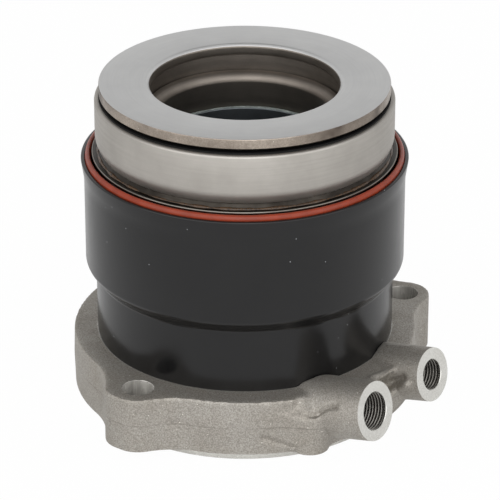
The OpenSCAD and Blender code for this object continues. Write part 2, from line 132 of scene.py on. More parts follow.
@dataclass(frozen=True)
class Finish:
    """A real material and how its surface was made.

    Patches are slow changes of tone, on a drilled wall upright streaks of painted reflection, grain is
    grit or cast skin, lines are tool marks around the axis, specks are dust on the enamel and painted
    glints of grit on the metals, and the seam is the mould's parting line. Sizes are in millimetres.
    """

    name: str
    colour: str
    shade: str
    metallic: float
    roughness: float
    rough_swing: float = 0.06
    specular: float = 0.5
    patch_mm: float = 8.0
    patch_share: float = 0.6
    grain_mm: float = 0.0
    grain_depth: float = 0.0
    grain_colour: str = "#000000"
    grain_share: float = 0.0
    lay: Lay = Lay.NONE
    line_mm: float = 0.3
    line_length: float = 25.0
    line_depth: float = 0.004
    line_share: float = 0.3
    speck_mm: float = 0.0
    speck_size: float = 0.12
    speck_share: float = 0.1
    speck_colour: str = "#ffffff"
    seam_z: float = 0.0
    seam_share: float = 0.9

    def build(self) -> bpy.types.Material:
        """Builds the material.

        Returns:
            The material, named for the finish.
        """
        material = bpy.data.materials.new(self.name)
        material.use_nodes = True
        material.diffuse_color = linear(self.colour)
        tree = material.node_tree
        tree.nodes.clear()
        Surface(self, tree, add_node(tree, "TexCoord")["Object"]).build()
        return material


@dataclass
class Surface:
    """Nodes of one finish, which read the piece's own coordinates."""

    finish: Finish
    tree: Tree
    place: Socket

    def build(self) -> None:
        """Lays the colours over each other, adds the relief, and links both to the shader."""
        look = self.finish
        rough = patch = self.patches()
        layers = [(patch, look.shade)]
        bumps: list[tuple[Socket, float]] = []
        if look.grain_mm:
            grit, mask = self.grain()
            bumps.append((grit, look.grain_depth))
            layers.append((mask, look.grain_colour))
        if look.seam_z:
            layers.append((self.seam(patch), look.grain_colour))
        if look.lay is Lay.TURNED:
            rough, mask = self.lines()
            bumps.append((rough, look.line_depth))
            layers.append((mask, look.shade))
        if look.speck_mm:
            layers.append((self.specks(), look.speck_colour))
        colour: Any = linear(look.colour)
        for mask, code in layers:
            colour = add_node(
                self.tree, "Mix", {0: mask, 6: colour, 7: linear(code)}, data_type="RGBA"
            )[2]
        swing = {"Value": rough, "From Min": 0.25, "From Max": 0.75}
        swing["To Min"] = look.roughness - look.rough_swing
        swing["To Max"] = look.roughness + look.rough_swing
        inputs = {
            "Base Color": colour,
            "Metallic": look.metallic,
            "Roughness": add_node(self.tree, "MapRange", swing)[0],
            "Specular IOR Level": look.specular,
        }
        for height, depth in bumps:
            relief = {"Height": height, "Distance": depth * MM, "Strength": 1.0}
            if "Normal" in inputs:
                relief["Normal"] = inputs["Normal"]
            inputs["Normal"] = add_node(self.tree, "Bump", relief)[0]
        shader = add_node(self.tree, "BsdfPrincipled", inputs)
        add_node(self.tree, "OutputMaterial", {"Surface": shader[0]})

    def patches(self) -> Socket:
        """Makes the slow change of tone, drawn out into upright streaks of painted reflection on a
        drilled wall.

        Returns:
            Share of the shade.
        """
        look, place = self.finish, self.place
        if look.lay is Lay.DRILLED:
            streak = {0: place, 1: (1.0, 1.0, 0.1)}
            place = add_node(self.tree, "VectorMath", streak, operation="MULTIPLY")[0]
        cloud = add_node(
            self.tree,
            "TexNoise",
            {"Vector": place, "Scale": 1 / (look.patch_mm * MM), "Detail": 4.0, "Roughness": 0.6},
        )[0]
        return add_node(
            self.tree,
            "MapRange",
            {"Value": cloud, "From Min": 0.32, "From Max": 0.68, "To Max": look.patch_share},
        )[0]

    def grain(self) -> tuple[Socket, Socket]:
        """Makes the grit of a cast or blasted skin.

        Returns:
            Height of the grit, and the share of the grain's colour.
        """
        look = self.finish
        grit = add_node(
            self.tree,
            "TexNoise",
            {"Vector": self.place, "Scale": 1 / (look.grain_mm * MM), "Detail": 3.0, "Roughness": 0.65},
        )[0]
        share = {"Value": grit, "From Min": 0.62, "From Max": 0.38, "To Max": look.grain_share}
        return grit, add_node(self.tree, "MapRange", share)[0]

    def lines(self) -> tuple[Socket, Socket]:
        """Makes tool marks that run around the axis on flat and on upright faces.

        Returns:
            Height of the marks, and the share of the shade in them.
        """
        tree, look = self.tree, self.finish
        along, across = 1 / (look.line_length * MM), 1 / (look.line_mm * MM)
        level = {0: self.place, 1: (1.0, 1.0, 0.0)}
        flat = add_node(tree, "VectorMath", level, operation="MULTIPLY")[0]
        radius = add_node(tree, "VectorMath", {0: flat}, operation="LENGTH")["Value"]
        x, y, z = add_node(tree, "SeparateXYZ", {0: self.place})
        polar = add_node(tree, "CombineXYZ", {0: x, 1: y, 2: radius})[0]
        scale = {0: polar, 1: (along, along, across)}
        scaled = add_node(tree, "VectorMath", scale, operation="MULTIPLY")[0]
        height = add_node(tree, "Math", {0: z, 1: across}, operation="MULTIPLY")[0]
        marks = add_node(
            tree,
            "TexNoise",
            {"Vector": scaled, "W": height, "Scale": 1.0, "Detail": 2.0},
            noise_dimensions="4D",
        )[0]
        share = {"Value": marks, "From Min": 0.4, "From Max": 0.75, "To Max": look.line_share}
        return marks, add_node(tree, "MapRange", share)[0]

    def seam(self, patch: Socket) -> Socket:
        """Makes the faint line that the parting of the mould leaves around a casting.

        Args:
            patch: Slow change of tone, which breaks the line.

        Returns:
            Share of the line's colour.
        """
        tree, look = self.tree, self.finish
        height = add_node(tree, "SeparateXYZ", {0: self.place})[2]
        level = {0: height, 1: look.seam_z * MM}
        away = add_node(tree, "Math", level, operation="SUBTRACT")[0]
        near = add_node(tree, "Math", {0: away}, operation="ABSOLUTE")[0]
        share = {"Value": near, "From Min": 0.3 * MM, "From Max": 0.1 * MM, "To Max": look.seam_share}
        line = add_node(tree, "MapRange", share)[0]
        return add_node(tree, "Math", {0: line, 1: patch}, operation="MULTIPLY")[0]

    def specks(self) -> Socket:
        """Makes scattered specks, a few of the cells of a loose pattern.

        Returns:
            Share of the speck's colour.
        """
        tree, look = self.tree, self.finish
        pattern = {"Vector": self.place, "Scale": 1 / (look.speck_mm * MM)}
        cells = add_node(tree, "TexVoronoi", pattern)
        limits = {"Distance": look.speck_size / look.speck_mm, "Color": look.speck_share}
        near, pick = (
            add_node(tree, "Math", {0: cells[key], 1: limit}, operation="LESS_THAN")[0]
            for key, limit in limits.items()
        )
        return add_node(tree, "Math", {0: near, 1: pick}, operation="MULTIPLY")[0]


# Gravity die cast aluminium, shot blasted: a matt warm grey skin with fine grit, and pale specks painted
# as the glints of the grit
CAST_ALUMINIUM = Finish(
    "shot_blasted_cast_aluminium", "#b5b1aa", "#a39d93", metallic=0.75, roughness=0.58, rough_swing=0.05,
    patch_mm=9.0, grain_mm=0.4, grain_depth=0.15, grain_colour="#6f6962", grain_share=0.6, speck_mm=0.8,
    speck_size=0.15, speck_share=0.16, speck_colour="#e2ded6", seam_z=12.45,
)
# Aluminium cut by a facing tool: brighter and smoother than the cast skin
MACHINED_ALUMINIUM = Finish(
    "machined_aluminium", "#deddd8", "#cbc9c3", metallic=0.7, roughness=0.28, grain_mm=0.6,
    grain_depth=0.02, grain_colour="#a8a59e", grain_share=0.25,
)
# Tapped aluminium thread and deep port walls: darkened by painted shade inside the bore, so that only the
# crests catch the light
TAPPED_ALUMINIUM = Finish("tapped_aluminium", "#9d9a94", "#65625d", metallic=0.95, roughness=0.3)
# Drilled aluminium: a smooth bright wall with soft upright light and dark streaks of painted reflection
DRILLED_ALUMINIUM = Finish(
    "drilled_aluminium", "#d9d6d0", "#57544f", metallic=0.4, roughness=0.32, patch_mm=3.4,
    patch_share=0.65, lay=Lay.DRILLED, grain_mm=0.7, grain_depth=0.01,
)
# Drawn steel with a black baked enamel: smooth and glossy, dusted with a few pale specks
BLACK_ENAMEL = Finish(
    "black_baked_enamel", "#0d0d0e", "#121213", metallic=0.0, roughness=0.24, rough_swing=0.03,
    specular=0.42, patch_mm=14.0, grain_mm=1.6, grain_depth=0.006, speck_mm=3.2, speck_size=0.16,
    speck_share=0.45, speck_colour="#8b8e90",
)
# Moulded silicone rubber, red oxide tint, dull with a soft sheen
RED_RUBBER = Finish(
    "red_silicone_rubber", "#93381f", "#6e2713", metallic=0.0, roughness=0.34, specular=0.35,
    patch_mm=5.0, grain_mm=0.6, grain_depth=0.03, grain_colour="#5e2418", grain_share=0.2,
)
# Bearing steel, ground around the axis: satin, with a warm tone and very fine marks
GROUND_RING = Finish(
    "ground_bearing_steel", "#b5b1ab", "#a09c96", metallic=1.0, roughness=0.48, patch_mm=10.0,
    lay=Lay.TURNED, line_mm=0.5, line_length=18.0, line_share=0.25,
)
# Hardened steel, surface ground flat: neutral grey with dense fine marks
GROUND_PLATE = Finish(
    "surface_ground_steel", "#d6d6d5", "#cacaca", metallic=1.0, roughness=0.45, rough_swing=0.04,
    patch_mm=12.0, lay=Lay.TURNED, line_mm=0.45, line_length=14.0, line_depth=0.003, line_share=0.2,
)
# Hard turned edge of the thrust plate: warm grey with large patches that swing to a dark tone, torn a
# little by the tool, with pale specks painted as glints
PLATE_EDGE = Finish(
    "hard_turned_steel", "#c2b6a9", "#5a514a", metallic=1.0, roughness=0.34, patch_mm=20.0,
    patch_share=1.0, grain_mm=0.4, grain_depth=0.04, grain_colour="#6b6158", grain_share=0.45,
    speck_mm=0.7, speck_size=0.14, speck_share=0.12, speck_colour="#efe9e0",
)
# Turned bearing steel inside the bore: warm grey, darkened by painted shade inside the bore
BORE_STEEL_SHADED = Finish(
    "turned_bearing_steel_painted_shade", "#8c857d", "#716a63", metallic=1.0, roughness=0.46, lay=Lay.TURNED,
    line_mm=0.4, line_length=20.0, line_depth=0.006,
)
# Pressed mild steel: its lit colour, on the outer edge of the carrier's brim
PRESSED_STEEL = Finish(
    "pressed_mild_steel", "#8f8b84", "#6b6760", metallic=1.0, roughness=0.34, patch_mm=6.0,
    grain_mm=0.5, grain_depth=0.02,
)
# Pressed mild steel under the bearing ring: its copy in painted shade, dark and uneven
SHADED_PRESSED_STEEL = Finish(
    "pressed_steel_painted_shade", "#423e39", "#1f1b18", metallic=0.95, roughness=0.34, rough_swing=0.1,
    patch_mm=4.5, patch_share=0.8, lay=Lay.TURNED, line_mm=0.6,
)
# Turned aluminium alloy, hard anodised on the land: dull grey
PISTON_ALUMINIUM = Finish(
    "turned_aluminium_alloy", "#968e86", "#7d766e", metallic=0.95, roughness=0.5, lay=Lay.TURNED,
    line_mm=0.25, line_length=22.0, line_depth=0.002,
)
# Honed aluminium in the bore of the piston: smooth, and darkened by painted shade inside the bore
HONED_ALUMINIUM_SHADED = Finish(
    "honed_aluminium_painted_shade", "#8b857d", "#76706a", metallic=0.95, roughness=0.36, lay=Lay.TURNED,
    line_mm=0.25, line_length=22.0, line_depth=0.002,
)
# Seamless steel tube, burnished and oiled: blue grey
TUBE_STEEL = Finish(
    "burnished_steel_tube", "#74797d", "#5f6467", metallic=1.0, roughness=0.42, lay=Lay.TURNED,
    line_depth=0.002,
)
# Nitrile rubber: nearly black, dull
BLACK_RUBBER = Finish(
    "black_nitrile_rubber", "#070708", "#0c0c0d", metallic=0.0, roughness=0.65, specular=0.2,
    grain_mm=0.5, grain_depth=0.02,
)
# Spring and clip steel, oil blackened
DARK_STEEL = Finish(
    "oil_blackened_steel", "#5c6064", "#45494d", metallic=1.0, roughness=0.36, grain_mm=0.8,
    grain_depth=0.01,
)
# Hardened and lapped ball steel: bright
BALL_STEEL = Finish(
    "lapped_ball_steel", "#d0d2d4", "#c2c5c8", metallic=1.0, roughness=0.12, rough_swing=0.02
)
# Glass filled polyamide: brown, moulded
CAGE_POLYAMIDE = Finish(
    "glass_filled_polyamide", "#8a6a3f", "#74572f", metallic=0.0, roughness=0.5, grain_mm=0.4,
    grain_depth=0.015,
)
# Filled fluoropolymer bands: one off white, one bronze grey
WHITE_POLYMER = Finish(
    "white_fluoropolymer", "#dedacf", "#cdc8bb", metallic=0.0, roughness=0.45, grain_mm=0.5,
    grain_depth=0.01,
)
GUIDE_POLYMER = Finish(
    "bronze_filled_fluoropolymer", "#4a443c", "#5d5245", metallic=0.0, roughness=0.5, grain_mm=0.4,
    grain_depth=0.01,
)
# Bearing grease that has been pressed out: brown, wet and uneven
BROWN_GREASE = Finish(
    "brown_bearing_grease", "#3a2a1c", "#1d1611", metallic=0.0, roughness=0.22, rough_swing=0.08,
    patch_mm=2.5, patch_share=1.0, grain_mm=0.7, grain_depth=0.12, grain_colour="#7a5836",
    grain_share=0.3,
)
# Assembly grease on the guide tube: pale grey green, smeared thin
PALE_GREASE = Finish(
    "pale_assembly_grease", "#9aa39f", "#5e6664", metallic=0.0, roughness=0.25, rough_swing=0.08,
    patch_mm=2.0, patch_share=1.0, grain_mm=0.6, grain_depth=0.1,
)


class Extent(NamedTuple):
    """Outer radius, lowest and highest point of a turned CAD node, in millimetres."""

    radius: float
    low: float
    high: float

    @classmethod
    def of(cls, node: str) -> "Extent":
        """Reads the extent of a node from the frame."""
        low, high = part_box(node)
        return cls(high[0] / MM, low[2] / MM, high[2] / MM)


@dataclass
class Workshop:
    """Makes each material once and hands out finished pieces."""

    materials: dict[str, bpy.types.Material] = field(default_factory=dict)
    sharp_angle: float = 38.0

    def material(self, finish: Finish) -> bpy.types.Material:
        """Gives the material of a finish, built at its first use.

        Args:
            finish: The finish.

        Returns:
            Its one material.
        """
        if finish.name not in self.materials:
            self.materials[finish.name] = finish.build()
        return self.materials[finish.name]

    def piece(self, name: str, shape: Solid | Mesh, *finishes: Finish) -> Piece:
        """Makes a piece at the origin, smooth but for its sharp edges.

        Args:
            name: Name of the piece.
            shape: Its mesh, or a bmesh that is freed, in metres.
            finishes: Finishes in the order of the material numbers.

        Returns:
            The new object.
        """
        mesh = shape
        if isinstance(shape, Solid):
            mesh = bpy.data.meshes.new(name)
            shape.to_mesh(mesh)
            shape.free()
        for finish in finishes[len(mesh.materials) :]:
            mesh.materials.append(self.material(finish))
        mesh.shade_smooth()
        mesh.set_sharp_from_angle(angle=math.radians(self.sharp_angle))
        obj = bpy.data.objects.new(name, mesh)
        bpy.context.scene.collection.objects.link(obj)
        return obj

    def dress(self, finish: Finish, *nodes: str) -> None:
        """Gives CAD nodes that stay in view their material.

        Args:
            finish: Finish of the nodes.
            nodes: Names of the nodes.
        """
        for node in nodes:
            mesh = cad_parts[node].data
            mesh.materials.clear()
            mesh.materials.append(self.material(finish))

    @staticmethod
    def mount(obj: Piece, body: Body, slot: str, *nodes: str) -> None:
        """Puts a piece on its body and hides the CAD nodes that it replaces.

        Args:
            obj: The piece.
            body: The body that it moves with.
            slot: Material slot of the record; not used.
            nodes: CAD nodes that it replaces.
        """
        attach(obj, body.value)
        if nodes:
            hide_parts(*nodes)
        LOG.info("%s: %d faces on %s", obj.name, len(obj.data.polygons), body.value)


def turn(bm: Solid, profile: Sequence[Point], steps: int, place: Matrix | None = None) -> list[Vert]:
    """Spins a closed profile around Z into a solid.

    Args:
        bm: Mesh that takes the solid.
        profile: Radius and height of each corner, in millimetres.
        steps: Faces around the axis.
        place: Where the solid goes, in metres.

    Returns:
        The solid's vertices.
    """
    before = set(bm.verts)
    ring = [bm.verts.new((r * MM, 0.0, z * MM)) for r, z in profile]
    edges = [bm.edges.new((ring[i - 1], ring[i])) for i in range(len(ring))]
    bmesh.ops.spin(
        bm, geom=[*ring, *edges], cent=(0, 0, 0), axis=(0, 0, 1), angle=math.tau, steps=steps,
        use_merge=True,
    )
    bmesh.ops.remove_doubles(bm, verts=[v for v in bm.verts if v not in before], dist=1e-7)
    verts = [v for v in bm.verts if v not in before]
    if place is not None:
        bmesh.ops.transform(bm, matrix=place, verts=verts)
    return verts


def on_ring(vert: Vert, point: Point) -> bool:
    """Says whether a vertex lies on the ring through a profile's corner."""
    x, y, z = vert.co
    return abs(math.hypot(x, y) - point[0] * MM) < 2e-6 and abs(z - point[1] * MM) < 2e-6


def ring_solid(profile: Sequence[Point], corners: dict[Point, float], steps: int = 160) -> Solid:
    """Makes a turned solid with rounded rings.

    Args:
        profile: Radius and height of each corner, in millimetres.
        corners: Rounding in millimetres of the corners that have one.
        steps: Faces around the axis.

    Returns:
        The solid, facing outwards.
    """
    bm = bmesh.new()
    turn(bm, profile, steps)
    bmesh.ops.recalc_face_normals(bm, faces=bm.faces)
    for size in sorted(set(corners.values()), reverse=True):
        points = [p for p, rounding in corners.items() if rounding == size]
        edges = [e for e in bm.edges if any(all(on_ring(v, p) for v in e.verts) for p in points)]
        bmesh.ops.bevel(
            bm, geom=edges, offset=size * MM, offset_type="OFFSET", segments=4, profile=0.5,
            affect="EDGES", material=-1, clamp_overlap=True,
        )
    bmesh.ops.recalc_face_normals(bm, faces=bm.faces)
    return bm


def distance_out(face: bmesh.types.BMFace) -> float:
    """Gives the distance of a face's middle from the axis, in millimetres."""
    return face.calc_center_median().xy.length / MM


def arc(centre: Point, radius: Point, start: float, end: float, count: int) -> list[Point]:
    """Gives points of a round part of a profile.

    Args:
        centre: Middle of the arc.
        radius: Radius along the profile's two directions.
        start: First angle in degrees.
        end: Last angle in degrees.
        count: Number of steps.

    Returns:
        The points from start to end.
    """
    angles = [math.radians(start + (end - start) * i / count) for i in range(count + 1)]
    return [(centre[0] + radius[0] * math.cos(a), centre[1] + radius[1] * math.sin(a)) for a in angles]


def coil(
    section: Sequence[Point], runs: Sequence[Point], steps: int, place: Matrix | None = None
) -> Solid:
    """Winds a closed section around Z with a given pitch for each run, and closes its ends.

    Args:
        section: Radius and height of the section's corners, in millimetres.
        runs: Turns and pitch in millimetres of each run.
        steps: Faces for each turn.
        place: Where the coil goes, in metres.

    Returns:
        The coil, facing outwards.
    """
    bm = bmesh.new()
    ring = [bm.verts.new((r * MM, 0.0, z * MM)) for r, z in section]
    last: list[Any] = [*ring, *(bm.edges.new((ring[i - 1], ring[i])) for i in range(len(ring)))]
    for turns, pitch in runs:
        last = bmesh.ops.spin(
            bm, geom=last, cent=(0, 0, 0), axis=(0, 0, 1), dvec=(0, 0, pitch * MM / steps),
            angle=math.tau * turns, steps=round(turns * steps),
        )["geom_last"]
    bmesh.ops.holes_fill(bm, edges=[e for e in bm.edges if e.is_boundary], sides=0)
    if place is not None:
        bmesh.ops.transform(bm, matrix=place, verts=bm.verts)
    bmesh.ops.recalc_face_normals(bm, faces=bm.faces)
    return bm


def smeared_ring(centre: Point, half: Point, swing: float, seed: float) -> Solid:
    """Makes an uneven bead of grease around the axis.

    Args:
        centre: Radius and height of the bead's middle, in millimetres.
        half: Half width and half height of its section at its thickest.
        swing: Share of the section that comes and goes along the bead.
        seed: Number that sets the bead apart from others.

    Returns:
        The bead as a closed solid.
    """
    bm = bmesh.new()
    turn(bm, arc(centre, half, 0, 330, 11), 180)
    bmesh.ops.recalc_face_normals(bm, faces=bm.faces)
    for vert in bm.verts:
        x, y, z = vert.co
        radius = math.hypot(x, y)
        around = Vector((x / radius, y / radius, 0.0))
        wave = noise.noise(around * 6 + Vector((seed, 0, 0)))
        wave += 0.5 * noise.noise(around * 19 + Vector((0, seed, 0)))
        size = 1 - swing * min(1.0, max(0.0, 0.5 + 0.8 * wave))
        reach = centre[0] * MM + (radius - centre[0] * MM) * size
        vert.co = around * reach + Vector((0, 0, centre[1] * MM + (z - centre[1] * MM) * size))
    return bm


def modify(obj: Piece, kind: str, **settings: Any) -> None:
    """Adds a modifier to an object.

    Args:
        obj: The object.
        kind: Blender's name of the modifier type.
        settings: Properties of the modifier.
    """
    modifier = obj.modifiers.new(kind.lower(), kind)
    for key, value in settings.items():
        setattr(modifier, key, value)


def settled(obj: Piece) -> Mesh:
    """Gives an object's mesh with its modifiers applied, and removes the object.

    Args:
        obj: The object.

    Returns:
        The new mesh.
    """
    graph = bpy.context.evaluated_depsgraph_get()
    mesh = bpy.data.meshes.new_from_object(obj.evaluated_get(graph))
    bpy.data.objects.remove(obj)
    return mesh


@dataclass(frozen=True)
class Port:
    """A threaded port of the housing."""

    name: str
    reach: float
    offset: float
    boss_r: float
    bore_r: float
    pitch: float

    @property
    def crest_r(self) -> float:
        """Radius at the crests of the thread."""
        return self.bore_r - 0.6 * self.pitch


@dataclass(frozen=True)
class Crease:
    """A hollow that the mould leaves along a line of the casting; a negative depth makes a ridge."""

    depth: float
    width: float
    line: tuple[Point3, ...]

    def press(self, mesh: Mesh) -> None:
        """Presses the crease into a mesh along its normals.

        Args:
            mesh: The casting's skin, in metres.
        """
        spots = [Vector(spot) * MM for spot in self.line]
        reach = 2 * self.width * MM
        low = [min(spot[axis] for spot in spots) - reach for axis in range(3)]
        high = [max(spot[axis] for spot in spots) + reach for axis in range(3)]
        moves: list[tuple[int, Vector]] = []
        for vert in mesh.vertices:
            if all(low[axis] < vert.co[axis] < high[axis] for axis in range(3)):
                away = min(gap(vert.co, start, end) for start, end in zip(spots, spots[1:]))
                share = math.exp(-((away / (self.width * MM)) ** 2))
                moves.append((vert.index, vert.normal * (-self.depth * MM * share)))
        for index, move in moves:
            mesh.vertices[index].co += move
        mesh.update()


def gap(spot: Vector, start: Vector, end: Vector) -> float:
    """Gives the distance of a point from the straight line between two others.

    Args:
        spot: The point.
        start: One end of the line.
        end: Its other end.

    Returns:
        The distance.
    """
    along = end - start
    share = min(1.0, max(0.0, (spot - start).dot(along) / along.length_squared))
    return (start + along * share - spot).length


@dataclass
class Housing:
    """Cast housing with its machined faces, and the guide tube in its middle.

    Stock is metal left on for the machine tools, plugs close the holes of the CAD solid before it is
    skinned, bite and cap are how far they reach into the metal, and clear is beyond every face.
    """

    shop: Workshop
    voxel: float = 0.62
    cast_rounds: int = 3
    fillet_rounds: int = 6
    fillet_rings: int = 2
    hollow_share: float = 0.08
    neck_margin: float = 2.5
    azimuth: float = -35.8
    tilt: float = 12.0
    port_z: float = 18.3
    port_depth: float = 14.0
    drill_point: float = 31.0
    mouth: float = 0.2
    lip: float = 0.45
    face_r: float = 12.5
    face_cut: float = 7.0
    ports: tuple[Port, ...] = (
        Port("pressure_port", reach=58.9, offset=-19.3, boss_r=8.5, bore_r=6.0, pitch=1.0),
        Port("bleed_port", reach=60.0, offset=8.3, boss_r=7.8, bore_r=5.0, pitch=1.0),
    )
    bolt_circle: float = 50.75
    bolt_r: float = 4.5
    bolt_edge: float = 0.12
    bolt_angles: tuple[float, ...] = (-126.4, 21.9, 127.7)
    spigot_r: float = 45.4
    spigot_h: float = 4.2
    spigot_edge: float = 0.5
    flange_top: float = 20.7
    collar_r: float = 41.78
    collar_top: float = 43.2
    collar_groove: float = 1.35
    barrel_r: float = 37.0
    barrel_top: float = 58.5
    bore_r: float = 33.0
    floor_z: float = 8.0
    seat_r: float = 25.02
    foot_r: float = 28.52
    foot_h: float = 2.22
    stock: float = 3.0
    plug_depth: float = 22.0
    port_plug: float = 1.7
    bolt_plug: float = 0.6
    plug_sink: float = 0.02
    bite: float = 1.5
    cap: float = 2.0
    core_gap: float = 0.3
    core_wall: float = 1.0
    clear: float = 70.0
    tube_r: float = 25.0
    tube_wall: float = 1.5
    tube_foot: float = 2.2
    web: tuple[Point3, Point3] = ((16.2, -45.0, 18.8), (17.4, -48.0, 15.6))
    web_r: float = 2.2
    creases: tuple[Crease, ...] = (
        # Fold between the pad and the pressure port's boss
        Crease(
            depth=0.95,
            width=0.7,
            line=(
                (16.8, -49.8, 16.1), (19.0, -49.6, 16.3), (20.5, -49.3, 16.9), (22.0, -49.8, 18.4),
                (23.2, -50.3, 19.5), (25.3, -51.5, 20.4),
            ),
        ),
        # Step beside the pad
        Crease(
            depth=0.6,
            width=0.6,
            line=(
                (5.0, -49.7, 9.1), (7.5, -49.3, 8.3), (9.6, -49.1, 7.3), (11.7, -49.1, 6.4),
                (14.2, -49.4, 5.8),
            ),
        ),
        # Pocket between the ports, and the ribs under it and above it
        Crease(1.6, 1.2, ((40.8, -30.1, 16.0), (42.6, -30.2, 17.0), (44.6, -31.4, 18.6))),
        Crease(-1.2, 1.0, ((42.6, -31.2, 14.4), (44.8, -31.7, 16.0), (46.2, -32.7, 17.4))),
        Crease(-0.6, 0.9, ((36.0, -34.6, 20.7), (39.0, -32.5, 20.6), (42.0, -29.6, 20.4))),
        # Fillet at the foot of the lug behind the bleed port
        Crease(
            depth=-0.3,
            width=0.7,
            line=((41.1, -20.1, 23.3), (43.9, -21.8, 23.9), (46.7, -23.5, 24.6), (48.4, -24.1, 24.9)),
        ),
    )

    def build(self) -> None:
        """Builds the housing, the threads of its ports and the guide tube."""
        mesh = self.cast_body()
        for cut in (self.turning_cuts(), self.bores(), self.drilling_cuts()):
            mesh = self.machined(mesh, cut)
        casting = self.shop.piece("housing_casting", mesh, CAST_ALUMINIUM, MACHINED_ALUMINIUM)
        self.shop.mount(casting, Body.HOUSING, "cast_aluminium", "housing")
        for port in self.ports:
            self.thread(port)
        self.guide_tube()

    def port_place(self, port: Port) -> Matrix:
        """Gives the place of a port's face, with +Z pointing out of the port.

        Args:
            port: The port.

        Returns:
            The place, in metres.
        """
        turned = Matrix.Rotation(math.radians(self.azimuth), 4, "Z")
        at = Matrix.Translation((port.reach * MM, port.offset * MM, self.port_z * MM))
        return turned @ at @ Matrix.Rotation(math.radians(90 - self.tilt), 4, "Y")

    def bolt_place(self, angle: float) -> Matrix:
        """Gives the place of a bolt hole at the height of the base."""
        at = Matrix.Translation((self.bolt_circle * MM, 0, 0))
        return Matrix.Rotation(math.radians(angle), 4, "Z") @ at

    def cast_body(self) -> Mesh:
        """Fills the machined holes of the CAD solid and gives what is left the soft edges of a casting.

        Returns:
            The casting before machining.
        """
        bm = bmesh.new()
        bm.from_mesh(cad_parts["housing"].data)
        bmesh.ops.remove_doubles(bm, verts=bm.verts, dist=1e-6)
        base = [
            face
            for face in bm.faces
            if face.normal.z < -0.99 and abs(face.calc_center_median().z - self.spigot_h * MM) < 1e-5
        ]
        lower = bmesh.ops.extrude_face_region(bm, geom=base)["geom"]
        skirt = [part for part in lower if isinstance(part, Vert)]
        bmesh.ops.translate(bm, vec=(0, 0, -self.stock * MM), verts=skirt)
        self.fill_holes(bm)
        bmesh.ops.recalc_face_normals(bm, faces=bm.faces)
        obj = self.shop.piece("cast_body", bm, CAST_ALUMINIUM)
        modify(obj, "REMESH", mode="VOXEL", voxel_size=self.voxel * MM)
        obj = self.shop.piece("cast_skin", settled(obj), CAST_ALUMINIUM)
        self.mark_hollows(obj)
        modify(obj, "SMOOTH", factor=0.5, iterations=self.fillet_rounds, vertex_group="hollows")
        modify(obj, "SMOOTH", factor=0.5, iterations=self.cast_rounds)
        mesh = settled(obj)
        for crease in self.creases:
            crease.press(mesh)
        return mesh

    def fill_holes(self, bm: Solid) -> None:
        """Adds plugs for the ports, bolt holes and bores, the stock at the base and the web by the pad.

        Args:
            bm: The CAD solid.
        """
        for port in self.ports:
            root_r, boss_r = port.bore_r + self.port_plug, port.boss_r
            low, step, high = -self.plug_depth, -self.cap, self.stock
            profile = [(0, low), (root_r, low), (root_r, step), (boss_r, step), (boss_r, high), (0, high)]
            turn(bm, profile, 48, self.port_place(port))
        for angle in self.bolt_angles:
            plug_r = self.bolt_r + self.bolt_plug
            low, high = self.spigot_h - self.bite, self.flange_top - self.plug_sink
            turn(bm, [(0, low), (plug_r, low), (plug_r, high), (0, high)], 48, self.bolt_place(angle))
        start, end = (Vector(spot) * MM for spot in self.web)
        along = end - start
        rod = arc((0, along.length / MM), (self.web_r, self.web_r), 90, 0, 8)
        rod += arc((0, 0), (self.web_r, self.web_r), 0, -90, 8)
        lean = along.to_track_quat("Z", "Y").to_matrix().to_4x4()
        turn(bm, rod, 32, Matrix.Translation(start) @ lean)
        core_r = self.barrel_r - self.core_wall
        low, high = self.core_gap, self.barrel_top - self.core_gap
        turn(bm, [(0, low), (core_r, low), (core_r, high), (0, high)], 96)
        foot_r = self.spigot_r + self.bite
        low, high = -self.stock, self.spigot_h + self.cap
        turn(bm, [(0, low), (foot_r, low), (foot_r, high), (0, high)], 144)

    def mark_hollows(self, obj: Piece) -> None:
        """Marks the hollow corners of the casting, where the mould leaves a fillet.

        Args:
            obj: The casting, which takes the vertex group "hollows".
        """
        bm = bmesh.new()
        bm.from_mesh(obj.data)
        share: dict[Vert, float] = {}
        for vert in bm.verts:
            near = [edge.other_vert(vert).co for edge in vert.link_edges]
            depth = (sum(near, Vector()) / len(near) - vert.co).dot(vert.normal)
            at_neck = math.hypot(vert.co.x, vert.co.y) < (self.collar_r + self.neck_margin) * MM
            if depth > self.hollow_share * self.voxel * MM and not at_neck:
                share[vert] = 1.0
        edge_of = set(share)
        for ring in range(1, self.fillet_rings + 1):
            around = {edge.other_vert(vert) for vert in edge_of for edge in vert.link_edges}
            edge_of = {vert for vert in around if vert not in share}
            share.update(dict.fromkeys(edge_of, 1 - ring / (self.fillet_rings + 1)))
        group = obj.vertex_groups.new(name="hollows")
        for vert, weight in share.items():
            group.add([vert.index], weight, "REPLACE")
        bm.free()

    def drilling_cuts(self) -> Solid:
        """Makes the cuts of the drills and facing tools: port faces and bores, and bolt holes.

        Returns:
            The cuts as closed solids, with the material numbers of their faces.
        """
        bm = bmesh.new()
        for port in self.ports:
            r, crest, depth, high = port.bore_r, port.crest_r, self.port_depth, self.face_cut
            point = depth + r * math.tan(math.radians(self.drill_point))
            profile = [
                (0, -point), (r, -depth), (r, -2 * self.lip), (crest, -self.lip), (crest, -self.mouth),
                (crest + self.mouth, 0), (self.face_r, 0), (self.face_r, high), (0, high),
            ]
            place = self.port_place(port)
            verts = turn(bm, profile, 64, place)
            back = place.inverted()
